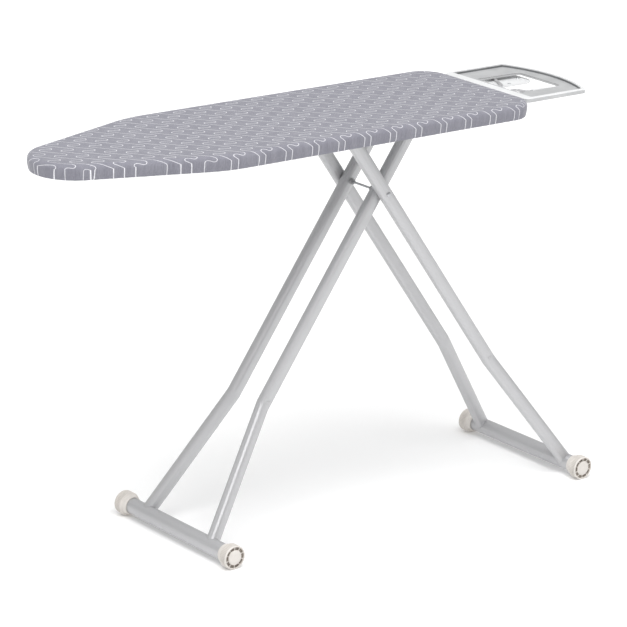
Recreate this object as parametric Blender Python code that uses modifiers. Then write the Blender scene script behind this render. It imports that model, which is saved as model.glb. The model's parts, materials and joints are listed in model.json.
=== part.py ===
"""Folding ironing board: padded board, iron rest and a scissor of two tubular leg frames.

Metres, +Z up. The origin is on the floor under the middle of the whole object's length and width.
+X runs from the board's nose to its square tail and the iron rest, and +Y is the board's left side.
The inner frame hinges under the board. The outer frame's top bar slides in two guide rails.
"""

import math

import bmesh
import bpy
from mathutils import Matrix, Vector

# Overall sizes
BOARD_LENGTH = 1.151
BOARD_WIDTH = 0.367
BOARD_TOP = 0.8745
SKIRT_HEIGHT = 0.033
REST_REACH = 0.204

# Board outline, seen from above
NOSE_RADIUS = 0.094
TAPER_ANGLE = math.radians(18.9)
SHOULDER_RADIUS = 0.27
TAIL_CORNER_RADIUS = 0.062

# Board build-up
CLOTH = 0.0016
EDGE_ROLL = 0.011
HEM_REACH = 0.030
HEM_CORD_RADIUS = 0.0015
PAD_THICKNESS = 0.006
PAD_INSET = 0.011
PAD_EDGE = 0.002
PLATE_THICKNESS = 0.0008
PLATE_INSET = 0.0045
RIM_WALL = 0.0015
RIM_HEIGHT = 0.0165

# Scissor frame
PIVOT_FROM_TAIL = 0.326
PIVOT_DROP = 0.1356
OUTER_SPREAD = 0.489
INNER_SPREAD = 0.4655
OUTER_GAUGE = 0.076
OUTER_FOOT_GAUGE = 0.141
LEG_CLEARANCE = 0.0012
BEND_HEIGHT = 0.279
BEND_RADIUS = 0.06
LEG_DEPTH = 0.030
LEG_THICKNESS = 0.0248
LEG_WALL = 0.0011
LEG_SQUARENESS = 2.6
LEG_TIP = 0.012
HINGE_DROP = 0.0305

# Feet
FOOT_TUBE_RADIUS = 0.0173
FOOT_TUBE_WALL = 0.0015
FOOT_HALF_WIDTH = 0.199
CAP_FLARE = 0.0053
CAP_BARREL = 0.0216
CAP_COLLAR_WALL = 0.0032
CAP_LENGTH = 0.035
CAP_END_WALL = 0.007
CAP_CHAMFER = 0.0016
CAP_RIM = 0.005
CAP_GROOVE_WIDTH = 0.0058
CAP_GROOVE_DEPTH = 0.0035

# Pins, bushes and rivets of the frame
AXLE_RADIUS = 0.0024
AXLE_CAP_RADIUS = 0.0052
AXLE_CAP_HEIGHT = 0.0030
BUSH_RADIUS = 0.0062
BUSH_LENGTH = 0.0065
WASHER_RADIUS = 0.0095
WASHER_THICKNESS = 0.0006
BEND_RIVET_RADIUS = 0.0042
BEND_RIVET_HEIGHT = 0.0016
PIN_RADIUS = 0.004
PIN_HOLE_CLEARANCE = 0.0004

# Hinge bracket and guide rails
BRACKET_SHEET = 0.002
BRACKET_LENGTH = 0.034
BRACKET_DROP = 0.011
SPACER_LENGTH = 0.0047
RAIL_FLANGE = 0.018
SLIDE_TRAVEL = 0.146
RAIL_END_MARGIN = 0.016
SLOT_CLEARANCE = 0.0005
SPACER_RADIUS = 0.0075
CLIP_RADIUS = 0.0085
CLIP_THICKNESS = 0.003

# Height lock: comb, its bracket and the release rod
COMB_THICKNESS = 0.002
COMB_HEIGHT = 0.012
COMB_PITCH = 0.024
COMB_NOTCHES = 7
COMB_REACH = 0.300
COMB_EYE_RADIUS = 0.007
COMB_EYE_DROP = 0.0145
COMB_PIN_RADIUS = 0.002
COMB_TOOTH = 0.0045
COMB_TAB = 0.011
COMB_TAB_RAISE = 0.009
COMB_BAR_CLEARANCE = 0.0005
ROD_RADIUS = 0.003
ROD_FROM_BAR = 0.042
ROD_DROP = 0.0076
FINGER_CLEARANCE = 0.0006
FINGER_ROOM = 0.0045
FINGER_KNEE = 0.008
ROD_FROM_HEM = 0.012
GRIP_RADIUS = 0.0062
GRIP_LENGTH = 0.058
HANDLE_REACH = 0.098
HANDLE_DROP = 0.041
SADDLE_WIDTH = 0.012
SADDLE_LENGTH = 0.014
SADDLE_FROM_HANDLE = 0.018
SPRING_TURNS = 4
SPRING_WIRE = 0.0005

# Iron rest
REST_GAP = 0.002
REST_HALF_WIDTH = 0.138
REST_TOP_DROP = 0.003
REST_HEIGHT = 0.0105
REST_EDGE = 0.0022
REST_BAR = 0.021
REST_RIM = 0.008
REST_POCKET = 0.006
REST_BOW = 0.026
REST_CORNER = 0.016
OPENING_FRONT = 0.043
OPENING_FROM_REAR = 0.042
OPENING_FRONT_HALF = 0.073
OPENING_REAR_HALF = 0.068
OPENING_CORNER = 0.008
WIRE_RADIUS = 0.003
WIRE_GAUGE = 0.022
WIRE_DECK_START = 0.115
WIRE_DECK_END = 0.055
WIRE_LOW_START = 0.036
WIRE_LOW_END = 0.006
WIRE_TRAY_START = 0.028
WIRE_SPLAY_START = 0.074
WIRE_SPLAY_END = 0.108
CLAMP_THICKNESS = 0.003
CLAMP_FRONT = 0.078
CLAMP_FROM_REAR = 0.032
CLAMP_INNER = 0.026
CLAMP_FROM_SIDE = 0.034
CLAMP_CORNERS = (0.006, 0.006, 0.028, 0.012)
CLAMP_SCREW_FROM_FRONT = 0.028
CLAMP_SCREW_FROM_REAR = 0.016
CLAMP_SCREW_INNER = 0.011
CLAMP_SCREW_OUTER = 0.040
ANCHOR_FRONT = 0.108
ANCHOR_REAR = 0.070
ANCHOR_MARGIN = 0.018
ANCHOR_SCREW_SIDE = 0.011
ANCHOR_CORNER = 0.004
SCREW_HEAD_RADIUS = 0.0038
SCREW_HEAD_HEIGHT = 0.0018
SCREW_SHANK_RADIUS = 0.0016

# Cross ribs under the plate
RIB_WIDTH = 0.022
RIB_HEIGHT = 0.006
NOSE_RIB_FROM_COMB = 0.183
TAIL_RIB_FROM_TAIL = 0.185

# Gap left between pieces that touch
GAP = 0.0003
ROUND = 24
SMALL_ROUND = 12

# Places worked out from the sizes above
TAIL_X = (BOARD_LENGTH - REST_REACH) / 2
NOSE_X = TAIL_X - BOARD_LENGTH
SKIRT_BOTTOM = BOARD_TOP - SKIRT_HEIGHT
PAD_TOP = BOARD_TOP - CLOTH - GAP
PLATE_TOP = PAD_TOP - PAD_THICKNESS - GAP
PLATE_BOTTOM = PLATE_TOP - PLATE_THICKNESS
UNDER_PLATE = PLATE_BOTTOM - GAP
CAP_COLLAR_RADIUS = FOOT_TUBE_RADIUS + CAP_COLLAR_WALL
CAP_RADIUS = CAP_COLLAR_RADIUS + CAP_FLARE
FOOT_HEIGHT = CAP_RADIUS
INNER_GAUGE = OUTER_GAUGE - LEG_THICKNESS - LEG_CLEARANCE
INNER_FOOT_GAUGE = OUTER_FOOT_GAUGE - LEG_THICKNESS - LEG_CLEARANCE
HINGE_HEIGHT = PLATE_BOTTOM - HINGE_DROP
PIVOT_HEIGHT = HINGE_HEIGHT - PIVOT_DROP
RAIL_FACE = OUTER_GAUGE + LEG_THICKNESS / 2 + SPACER_LENGTH + 3 * GAP
PIVOT_X = TAIL_X - PIVOT_FROM_TAIL
RISE = (HINGE_HEIGHT - PIVOT_HEIGHT) / (PIVOT_HEIGHT - FOOT_HEIGHT)
HINGE_OFFSET = RISE * (OUTER_SPREAD + INNER_SPREAD) / 2
HINGE_X = PIVOT_X + HINGE_OFFSET
BAR_X = PIVOT_X - HINGE_OFFSET
REST_TOP = BOARD_TOP - REST_TOP_DROP
REST_BOTTOM = REST_TOP - REST_HEIGHT
REST_FLOOR_TOP = REST_TOP - REST_POCKET
REST_FRONT_X = TAIL_X + REST_GAP
REST_REAR_X = TAIL_X + REST_REACH
OPENING_REAR_X = REST_REAR_X - OPENING_FROM_REAR
CLAMP_REAR_X = REST_REAR_X - CLAMP_FROM_REAR
CLAMP_OUTER = REST_HALF_WIDTH - CLAMP_FROM_SIDE
ROD_X = BAR_X + ROD_FROM_BAR
ROD_Z = PLATE_BOTTOM - ROD_DROP
ROD_SIDE = BOARD_WIDTH / 2 - HEM_REACH - ROD_FROM_HEM
SADDLE_Y = ROD_SIDE - SADDLE_FROM_HANDLE
COMB_LOW = HINGE_HEIGHT + PIN_RADIUS + COMB_BAR_CLEARANCE
COMB_PIN_X = BAR_X - COMB_REACH
COMB_PIN_Z = PLATE_BOTTOM - COMB_EYE_DROP
COMB_FLANK_X = BAR_X + PIN_RADIUS + SLOT_CLEARANCE + COMB_TOOTH
FINGER_Z = COMB_LOW + COMB_TAB_RAISE - FINGER_CLEARANCE - ROD_RADIUS
SIDES = (("left", 1), ("right", -1))

# Colour, roughness and metallic value of each finish
FINISHES = {
    "silver_paint": ((0.60, 0.60, 0.61), 0.35, 0.6),
    "cap_plastic": ((0.86, 0.84, 0.80), 0.5, 0.0),
    "rest_plastic": ((0.82, 0.83, 0.84), 0.4, 0.0),
    "cover_cotton": ((0.34, 0.34, 0.41), 0.9, 0.0),
    "pad_felt": ((0.72, 0.70, 0.66), 0.95, 0.0),
    "deck_steel": ((0.50, 0.51, 0.52), 0.45, 0.5),
    "zinc_steel": ((0.55, 0.56, 0.57), 0.3, 1.0),
    "dark_steel": ((0.10, 0.10, 0.11), 0.4, 0.8),
    "black_plastic": ((0.03, 0.03, 0.03), 0.5, 0.0),
    "white_elastic": ((0.80, 0.80, 0.78), 0.9, 0.0),
}


def clear_scene():
    for obj in list(bpy.data.objects):
        bpy.data.objects.remove(obj, do_unlink=True)


def make_collection(name):
    collection = bpy.data.collections.new(name)
    bpy.context.scene.collection.children.link(collection)
    return collection


def finish(name):
    """The material of this name, made the first time that it is asked for."""
    material = bpy.data.materials.get(name)
    if material:
        return material
    color, roughness, metallic = FINISHES[name]
    material = bpy.data.materials.new(name)
    material.use_nodes = True
    shader = material.node_tree.nodes["Principled BSDF"]
    shader.inputs["Base Color"].default_value = (*color, 1)
    shader.inputs["Roughness"].default_value = roughness
    shader.inputs["Metallic"].default_value = metallic
    return material


def add_object(name, data, material, collection=None):
    obj = bpy.data.objects.new(name, data)
    (collection or PARTS).objects.link(obj)
    if material:
        data.materials.append(finish(material))
    return obj


def hide_cutter(obj):
    obj.hide_render = True
    obj.display_type = "WIRE"


def smooth(obj, angle=40):
    obj.data.shade_smooth()
    obj.data.set_sharp_from_angle(angle=math.radians(angle))


def baked(obj):
    """Replaces a curve object by a mesh object of the same shape with its caps welded on."""
    bpy.context.view_layer.update()
    graph = bpy.context.evaluated_depsgraph_get()
    mesh = bpy.data.meshes.new_from_object(obj.evaluated_get(graph))
    work = bmesh.new()
    work.from_mesh(mesh)
    bmesh.ops.remove_doubles(work, verts=work.verts, dist=1e-6)
    bmesh.ops.recalc_face_normals(work, faces=work.faces)
    work.to_mesh(mesh)
    work.free()
    collection = obj.users_collection[0]
    name = obj.name
    matrix = obj.matrix_world.copy()
    bpy.data.objects.remove(obj, do_unlink=True)
    solid = bpy.data.objects.new(name, mesh)
    collection.objects.link(solid)
    solid.matrix_world = matrix
    return solid


def cut(target, cutter):
    modifier = target.modifiers.new("cut_" + cutter.name, "BOOLEAN")
    modifier.operation = "DIFFERENCE"
    modifier.solver = "EXACT"
    modifier.object = cutter


# How an outline's two coordinates and its thickness lie in the object, for each axis of extrusion
PLANES = {
    "X": Matrix(((0, 0, 1), (1, 0, 0), (0, 1, 0))),
    "Y": Matrix(((1, 0, 0), (0, 0, -1), (0, 1, 0))),
    "Z": Matrix(((1, 0, 0), (0, 1, 0), (0, 0, 1))),
}


def extruded(name, loops, axis, low, high, material, edge=0.0, collection=None):
    """A flat outline, with any holes, extruded from low to high along an axis, with round edges."""
    curve = bpy.data.curves.new(name, "CURVE")
    curve.dimensions = "2D"
    curve.fill_mode = "BOTH"
    curve.extrude = (high - low) / 2 - edge
    curve.bevel_depth = edge
    curve.bevel_resolution = 2
    for loop in loops:
        add_spline(curve, [(x, y, 0) for x, y in loop], cyclic=True)
    obj = add_object(name, curve, material, collection)
    turn = PLANES[axis].to_4x4()
    middle = (low + high) / 2
    offset = {"X": (middle, 0, 0), "Y": (0, middle, 0), "Z": (0, 0, middle)}[axis]
    obj.matrix_world = Matrix.Translation(offset) @ turn
    return baked(obj)


def add_spline(curve, points, cyclic=False):
    spline = curve.splines.new("POLY")
    spline.points.add(len(points) - 1)
    for point, place in zip(spline.points, points):
        point.co = (*place, 1)
    spline.use_cyclic_u = cyclic


def rod(name, points, radius, material, cyclic=False, detail=2):
    """A round wire or tube along a path."""
    curve = bpy.data.curves.new(name, "CURVE")
    curve.dimensions = "3D"
    curve.bevel_depth = radius
    curve.bevel_resolution = detail
    curve.use_fill_caps = True
    add_spline(curve, points, cyclic)
    obj = add_object(name, curve, material)
    return smoothed(baked(obj))


def smoothed(obj):
    smooth(obj)
    return obj


def cylinder(name, axis, center, radius, low, high, material=None, sides=ROUND, collection=None):
    """A cylinder along an axis; center holds its other two coordinates, in X, Y, Z order."""
    mesh = bpy.data.meshes.new(name)
    work = bmesh.new()
    bmesh.ops.create_cone(
        work, cap_ends=True, segments=sides, radius1=radius, radius2=radius, depth=high - low
    )
    work.to_mesh(mesh)
    work.free()
    obj = add_object(name, mesh, material, collection)
    middle = (low + high) / 2
    if axis == "Y":
        obj.location = (center[0], middle, center[1])
        obj.rotation_euler = (math.pi / 2, 0, 0)
    elif axis == "Z":
        obj.location = (center[0], center[1], middle)
    return smoothed(obj)


def cutter_cylinder(name, axis, center, radius, low, high, sides=ROUND):
    obj = cylinder(name, axis, center, radius, low, high, None, sides, CUTTERS)
    hide_cutter(obj)
    return obj


def box(name, low, high, material=None, collection=None):
    mesh = bpy.data.meshes.new(name)
    work = bmesh.new()
    bmesh.ops.create_cube(work, size=1)
    size = [b - a for a, b in zip(low, high)]
    bmesh.ops.scale(work, vec=size, verts=work.verts)
    work.to_mesh(mesh)
    work.free()
    obj = add_object(name, mesh, material, collection)
    obj.location = [(a + b) / 2 for a, b in zip(low, high)]
    return obj


def turned(name, profile, place, toward, material, steps=ROUND):
    """A profile of (radius, height) turned about an axis through place that points toward."""
    mesh = bpy.data.meshes.new(name)
    points = [(radius, 0, height) for radius, height in profile]
    edges = [(i, i + 1) for i in range(len(points) - 1)]
    mesh.from_pydata(points, edges, [])
    obj = add_object(name, mesh, material)
    screw = obj.modifiers.new("turn", "SCREW")
    screw.steps = steps
    screw.render_steps = steps
    screw.use_merge_vertices = True
    screw.merge_threshold = 0.00001
    screw.use_smooth_shade = True
    obj.location = place
    obj.rotation_euler = Vector(toward).to_track_quat("Z", "X").to_euler()
    return obj


def arc(center, radius, start, end, steps):
    """Points of an arc in the plane, both ends among them; angles in radians."""
    angles = [start + (end - start) * i / steps for i in range(steps + 1)]
    return [(center[0] + radius * math.cos(a), center[1] + radius * math.sin(a)) for a in angles]


def circle(center, radius, steps=SMALL_ROUND):
    return arc(center, radius, 0, 2 * math.pi, steps)[:-1]


def rounded(corners, radii, steps=4):
    """A closed outline with each corner rounded to its radius."""
    outline = []
    count = len(corners)
    for i, (corner, radius) in enumerate(zip(corners, radii)):
        here = Vector(corner)
        back = (Vector(corners[i - 1]) - here).normalized()
        ahead = (Vector(corners[(i + 1) % count]) - here).normalized()
        outline += fillet(here, back, ahead, radius, steps)
    return [tuple(point) for point in outline]


def fillet(here, back, ahead, radius, steps):
    """Points of the arc that rounds a corner between two directions; the corner itself if radius is 0."""
    half = back.angle(ahead) / 2
    if radius <= 0 or half > math.pi / 2 - 1e-4:
        return [here]
    reach = radius / math.tan(half)
    center = here + (back + ahead).normalized() * (radius / math.sin(half))
    first = here + back * reach - center
    last = here + ahead * reach - center
    sweep = first.angle(last)
    points = []
    for i in range(steps + 1):
        share = sweep * i / steps
        blend = (first * math.sin(sweep - share) + last * math.sin(share)) / math.sin(sweep)
        points.append(center + blend)
    return points


def rounded_path(points, radius, steps=4):
    """An open path in space with its inner corners rounded."""
    places = [Vector(point) for point in points]
    path = [places[0]]
    for before, here, after in zip(places, places[1:], places[2:]):
        path += fillet(here, (before - here).normalized(), (after - here).normalized(), radius, steps)
    path.append(places[-1])
    return [tuple(place) for place in path]


def mirrored_loop(half):
    """A closed outline from its +Y half, which runs from the nose end to the tail end."""
    other = [(x, -y) for x, y in reversed(half)]
    loop = half + other
    return [p for i, p in enumerate(loop) if math.dist(p, loop[i - 1]) > 1e-6]


def board_outline(inset):
    """The board's outline seen from above, moved in by inset: nose arc, taper, shoulder, side, tail."""
    half = BOARD_WIDTH / 2 - inset
    nose_center = NOSE_X + NOSE_RADIUS
    normal = math.pi / 2 + TAPER_ANGLE
    shoulder_radius = SHOULDER_RADIUS - inset
    shoulder_y = half - shoulder_radius
    # The taper touches the nose arc and the shoulder arc, whose centre lies this far along it
    nose_radius = NOSE_RADIUS - inset
    lift = (shoulder_radius - nose_radius + shoulder_y * math.cos(TAPER_ANGLE)) / math.sin(TAPER_ANGLE)
    shoulder_x = nose_center + lift
    corner_radius = TAIL_CORNER_RADIUS - inset
    corner = (TAIL_X - TAIL_CORNER_RADIUS, half - corner_radius)
    points = arc((nose_center, 0), nose_radius, math.pi, normal, 8)
    points += arc((shoulder_x, shoulder_y), shoulder_radius, normal, math.pi / 2, 5)
    points += arc(corner, corner_radius, math.pi / 2, 0, 6)
    return mirrored_loop(points)


def make_board():
    """Cover, hem cord, pad, the plate and its rim."""
    cover = extruded(
        "cotton_cover", [board_outline(EDGE_ROLL)], "Z", SKIRT_BOTTOM, BOARD_TOP, "cover_cotton", EDGE_ROLL
    )
    hollow = extruded(
        "cover_hollow", [board_outline(EDGE_ROLL)], "Z", SKIRT_BOTTOM + CLOTH, BOARD_TOP - CLOTH,
        None, EDGE_ROLL - CLOTH, CUTTERS,
    )
    mouth = extruded(
        "cover_mouth", [board_outline(HEM_REACH)], "Z", SKIRT_BOTTOM - CLOTH, SKIRT_BOTTOM + 2 * CLOTH,
        None, 0.0, CUTTERS,
    )
    for cutter in (hollow, mouth):
        hide_cutter(cutter)
        cut(cover, cutter)
    smooth(cover)
    hem_z = SKIRT_BOTTOM + CLOTH + GAP + HEM_CORD_RADIUS
    hem = [(x, y, hem_z) for x, y in board_outline(HEM_REACH - HEM_CORD_RADIUS)]
    rod("hem_cord", hem, HEM_CORD_RADIUS, "white_elastic", cyclic=True, detail=1)
    extruded(
        "felt_pad", [board_outline(PAD_INSET + PAD_EDGE)], "Z", PAD_TOP - PAD_THICKNESS, PAD_TOP,
        "pad_felt", PAD_EDGE,
    )
    extruded(
        "deck_plate", [board_outline(PLATE_INSET)], "Z", PLATE_BOTTOM, PLATE_TOP, "deck_steel"
    )
    extruded(
        "deck_rim", [board_outline(PLATE_INSET), board_outline(PLATE_INSET + RIM_WALL)], "Z",
        UNDER_PLATE - RIM_HEIGHT, UNDER_PLATE, "deck_steel",
    )


def half_width_at(x, inset):
    """The board's half width at x, moved in by inset, read off the outline."""
    loop = board_outline(inset)
    for (x1, y1), (x2, y2) in zip(loop, loop[1:]):
        if y1 >= 0 and y2 >= 0 and x1 <= x <= x2 and x2 > x1:
            return y1 + (y2 - y1) * (x - x1) / (x2 - x1)
    return BOARD_WIDTH / 2 - inset


def make_ribs():
    """Two flat cross ribs that stiffen the plate, ending short of the rim."""
    inset = PLATE_INSET + RIM_WALL + GAP
    for name, x in (("nose_rib", COMB_PIN_X - NOSE_RIB_FROM_COMB), ("tail_rib", TAIL_X - TAIL_RIB_FROM_TAIL)):
        reach = half_width_at(x - RIB_WIDTH / 2, inset) - GAP
        slope = RIB_HEIGHT
        profile = [
            (x - RIB_WIDTH / 2, UNDER_PLATE),
            (x - RIB_WIDTH / 2 + slope, UNDER_PLATE - RIB_HEIGHT),
            (x + RIB_WIDTH / 2 - slope, UNDER_PLATE - RIB_HEIGHT),
            (x + RIB_WIDTH / 2, UNDER_PLATE),
        ]
        extruded(name, [profile], "Y", -reach, reach, "deck_steel")


def leg_x(spread, z):
    """Where a leg's centre line is at height z; spread is its foot's distance from the pivot, signed."""
    return PIVOT_X + spread * (PIVOT_HEIGHT - z) / (PIVOT_HEIGHT - FOOT_HEIGHT)


def oval(depth, thickness, steps=16):
    """A flattened round section, depth wide in the leg's swing plane."""
    points = []
    for i in range(steps):
        angle = 2 * math.pi * (i + 0.5) / steps
        c, s = math.cos(angle), math.sin(angle)
        power = 2 / LEG_SQUARENESS
        points.append((
            math.copysign(abs(c) ** power, c) * thickness / 2,
            math.copysign(abs(s) ** power, s) * depth / 2,
        ))
    return points


def swept_oval(name, path, depth, thickness, material, collection=None):
    section_curve = bpy.data.curves.new(name + "_section", "CURVE")
    section_curve.dimensions = "2D"
    add_spline(section_curve, [(x, y, 0) for x, y in oval(depth, thickness)], cyclic=True)
    section = add_object(name + "_section", section_curve, None, CUTTERS)
    curve = bpy.data.curves.new(name, "CURVE")
    curve.dimensions = "3D"
    curve.twist_mode = "Z_UP"
    curve.bevel_mode = "OBJECT"
    curve.bevel_object = section
    curve.use_fill_caps = True
    add_spline(curve, path)
    obj = baked(add_object(name, curve, material, collection))
    bpy.data.objects.remove(section, do_unlink=True)
    return obj


def make_leg(name, side, spread, gauge, foot_gauge, hole_x):
    """One bent oval tube from the foot tube up past the pivot to its top joint."""
    foot_x = PIVOT_X + spread
    length = math.hypot(spread, PIVOT_HEIGHT - FOOT_HEIGHT)
    tip_z = HINGE_HEIGHT + LEG_TIP * (PIVOT_HEIGHT - FOOT_HEIGHT) / length
    corners = [
        (leg_x(spread, tip_z), side * gauge, tip_z),
        (leg_x(spread, BEND_HEIGHT), side * gauge, BEND_HEIGHT),
        (foot_x, side * foot_gauge, FOOT_HEIGHT),
    ]
    path = rounded_path(corners, BEND_RADIUS, 3)
    leg = swept_oval(name, path, LEG_DEPTH, LEG_THICKNESS, "silver_paint")
    # The bore runs past both ends, so the tube stays open inside
    start, end = Vector(path[0]), Vector(path[-1])
    longer = [tuple(start + (start - Vector(path[1])).normalized() * LEG_TIP)] + path[1:-1]
    longer.append(tuple(end + (end - Vector(path[-2])).normalized() * LEG_TIP))
    bore = swept_oval(
        name + "_bore", longer, LEG_DEPTH - 2 * LEG_WALL, LEG_THICKNESS - 2 * LEG_WALL, None, CUTTERS
    )
    low, high = sorted((side * (gauge - LEG_THICKNESS), side * (gauge + LEG_THICKNESS)))
    axle = cutter_cylinder(
        name + "_axle_hole", "Y", (PIVOT_X, PIVOT_HEIGHT), AXLE_RADIUS + PIN_HOLE_CLEARANCE, low, high,
        SMALL_ROUND,
    )
    pin = cutter_cylinder(
        name + "_pin_hole", "Y", (hole_x, HINGE_HEIGHT), PIN_RADIUS + PIN_HOLE_CLEARANCE, low, high,
        SMALL_ROUND,
    )
    low = side * foot_gauge - LEG_DEPTH
    high = side * foot_gauge + LEG_DEPTH
    saddle = cutter_cylinder(
        name + "_saddle", "Y", (foot_x, FOOT_HEIGHT), FOOT_TUBE_RADIUS + GAP, low, high
    )
    hide_cutter(bore)
    for cutter in (bore, axle, pin, saddle):
        cut(leg, cutter)
    smooth(leg)


def make_foot_tube(name, x):
    half = FOOT_HALF_WIDTH - CAP_END_WALL - GAP
    tube = cylinder(name, "Y", (x, FOOT_HEIGHT), FOOT_TUBE_RADIUS, -half, half, "silver_paint")
    bore = cutter_cylinder(
        name + "_bore", "Y", (x, FOOT_HEIGHT), FOOT_TUBE_RADIUS - FOOT_TUBE_WALL, -half - GAP, half + GAP
    )
    cut(tube, bore)


def make_foot_cap(name, side, x):
    """A push-on cap: smooth collar, wider barrel, and a ring-shaped recess in its end face."""
    bore = FOOT_TUBE_RADIUS + GAP
    face = CAP_LENGTH
    shoulder = CAP_LENGTH - CAP_BARREL
    groove_out = CAP_RADIUS - CAP_RIM
    groove_in = groove_out - CAP_GROOVE_WIDTH
    profile = [
        (0, face),
        (groove_in, face),
        (groove_in, face - CAP_GROOVE_DEPTH),
        (groove_out, face - CAP_GROOVE_DEPTH),
        (groove_out, face),
        (CAP_RADIUS - CAP_CHAMFER, face),
        (CAP_RADIUS, face - CAP_CHAMFER),
        (CAP_RADIUS, shoulder + CAP_CHAMFER),
        (CAP_RADIUS - CAP_CHAMFER, shoulder),
        (CAP_COLLAR_RADIUS, shoulder - CAP_CHAMFER),
        (CAP_COLLAR_RADIUS, 0),
        (bore, 0),
        (bore, face - CAP_END_WALL),
        (0, face - CAP_END_WALL),
    ]
    place = (x, side * (FOOT_HALF_WIDTH - CAP_LENGTH), FOOT_HEIGHT)
    turned(name, profile, place, (0, side, 0), "cap_plastic")


def dome(radius, height, steps=3):
    """The profile of a low rivet head with a flat back."""
    points = []
    for i in range(steps + 1):
        angle = math.pi / 2 * i / steps
        points.append((radius * math.sin(angle), height * math.cos(angle)))
    return points + [(0, 0)]


def make_frame(kind, spread, gauge, foot_gauge, hole_x):
    """One frame of the scissor: two legs, the foot tube, its caps and the rivets at the bends."""
    foot_x = PIVOT_X + spread
    for side_name, side in SIDES:
        make_leg(f"{kind}_leg_{side_name}", side, spread, gauge, foot_gauge, hole_x)
        make_foot_cap(f"{kind}_foot_cap_{side_name}", side, foot_x)
        height = BEND_HEIGHT + BEND_RIVET_RADIUS * 2
        out = side * (gauge + LEG_THICKNESS / 2 + GAP)
        turned(
            f"{kind}_bend_rivet_{side_name}", dome(BEND_RIVET_RADIUS, BEND_RIVET_HEIGHT),
            (leg_x(spread, height), out, height), (0, side, 0), "silver_paint", SMALL_ROUND,
        )
    make_foot_tube(f"{kind}_foot_tube", foot_x)


def make_ring(name, side, x, z, start, inner, outer, length, material):
    """A bush or washer on a Y axis that starts at distance start from the middle."""
    low, high = sorted((side * start, side * (start + length)))
    body = cylinder(name, "Y", (x, z), outer, low, high, material, SMALL_ROUND * 2)
    hole = cutter_cylinder(name + "_hole", "Y", (x, z), inner, low - GAP, high + GAP, SMALL_ROUND)
    cut(body, hole)


def make_pivot():
    """The axle that joins the frames, with its washers, inner bushes and domed end caps."""
    outer_face = OUTER_GAUGE + LEG_THICKNESS / 2
    inner_face = INNER_GAUGE - LEG_THICKNESS / 2
    between = INNER_GAUGE + LEG_THICKNESS / 2
    gap = OUTER_GAUGE - LEG_THICKNESS / 2 - between
    end = outer_face + GAP + AXLE_CAP_HEIGHT / 3
    cylinder("pivot_axle", "Y", (PIVOT_X, PIVOT_HEIGHT), AXLE_RADIUS, -end, end, "dark_steel", SMALL_ROUND)
    for side_name, side in SIDES:
        make_ring(
            f"pivot_washer_{side_name}", side, PIVOT_X, PIVOT_HEIGHT, between + (gap - WASHER_THICKNESS) / 2,
            AXLE_RADIUS + GAP, WASHER_RADIUS, WASHER_THICKNESS, "black_plastic",
        )
        make_ring(
            f"pivot_bush_{side_name}", side, PIVOT_X, PIVOT_HEIGHT, inner_face - GAP - BUSH_LENGTH,
            AXLE_RADIUS + GAP, BUSH_RADIUS, BUSH_LENGTH, "black_plastic",
        )
        cap = dome(AXLE_CAP_RADIUS, AXLE_CAP_HEIGHT)[:-1]
        cap += [(AXLE_RADIUS + GAP, 0), (AXLE_RADIUS + GAP, AXLE_CAP_HEIGHT / 3 + GAP)]
        cap += [(0, AXLE_CAP_HEIGHT / 3 + GAP)]
        turned(
            f"axle_cap_{side_name}", cap, (PIVOT_X, side * (outer_face + GAP), PIVOT_HEIGHT), (0, side, 0),
            "zinc_steel", SMALL_ROUND,
        )


def make_hinge():
    """The U bracket under the plate, its pin through the inner legs, and the spacers on the pin."""
    leg_face = INNER_GAUGE - LEG_THICKNESS / 2
    ear_out = leg_face - WASHER_THICKNESS - 2 * GAP
    ear_in = ear_out - BRACKET_SHEET
    low = HINGE_HEIGHT - BRACKET_DROP
    web = UNDER_PLATE - BRACKET_SHEET
    profile = [
        (-ear_out, UNDER_PLATE), (-ear_out, low), (-ear_in, low), (-ear_in, web),
        (ear_in, web), (ear_in, low), (ear_out, low), (ear_out, UNDER_PLATE),
    ]
    bracket = extruded(
        "hinge_bracket", [profile], "X", HINGE_X - BRACKET_LENGTH / 2, HINGE_X + BRACKET_LENGTH / 2,
        "zinc_steel",
    )
    hole = cutter_cylinder(
        "hinge_bracket_hole", "Y", (HINGE_X, HINGE_HEIGHT), PIN_RADIUS + PIN_HOLE_CLEARANCE,
        -OUTER_GAUGE, OUTER_GAUGE, SMALL_ROUND,
    )
    cut(bracket, hole)
    end = INNER_GAUGE + LEG_THICKNESS / 2 - GAP
    cylinder("hinge_pin", "Y", (HINGE_X, HINGE_HEIGHT), PIN_RADIUS, -end, end, "zinc_steel", SMALL_ROUND)
    for side_name, side in SIDES:
        make_ring(
            f"hinge_washer_{side_name}", side, HINGE_X, HINGE_HEIGHT, ear_out + GAP,
            PIN_RADIUS + PIN_HOLE_CLEARANCE, WASHER_RADIUS, WASHER_THICKNESS, "black_plastic",
        )


def stadium(x1, x2, z, radius):
    """The outline of a slot with round ends centred on x1 and x2."""
    right = arc((x2, z), radius, -math.pi / 2, math.pi / 2, 6)
    left = arc((x1, z), radius, math.pi / 2, 3 * math.pi / 2, 6)
    return right + left


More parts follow.
